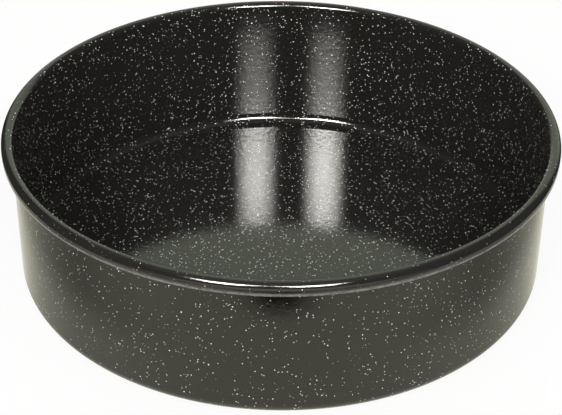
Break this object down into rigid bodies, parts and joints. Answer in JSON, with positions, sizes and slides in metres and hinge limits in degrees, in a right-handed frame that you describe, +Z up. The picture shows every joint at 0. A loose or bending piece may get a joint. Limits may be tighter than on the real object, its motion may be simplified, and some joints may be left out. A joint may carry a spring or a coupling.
{
  "type": "round cake pan",
  "caption": "Round straight-sided cake pan of enamelled steel, black with white flecks, with a flat floor, a small inside corner and a rolled rim.",
  "frame": {"origin": "centre of the base, on the surface that the pan stands on", "axes": "+Z up along the pan's axis, out of its mouth; the pan is round, so X and Y are free"},
  "size_m": [0.272, 0.272, 0.076],
  "materials": {
    "steel_shell": "bare drawn sheet, hidden under the coats",
    "inside_ground_coat": "blue-black ground enamel, hidden under the cover coat",
    "outside_ground_coat": "blue-black ground enamel, hidden under the cover coat",
    "inside_cover_coat": "glossy black vitreous enamel with fine white flecks",
    "outside_cover_coat": "glossy black vitreous enamel with fine white flecks"
  },
  "bodies": {
    "root": {"steel_shell": "steel_shell", "inside_ground_coat": "inside_ground_coat", "outside_ground_coat": "outside_ground_coat", "inside_cover_coat": "inside_cover_coat", "outside_cover_coat": "outside_cover_coat"}
  },
  "joints": []
}
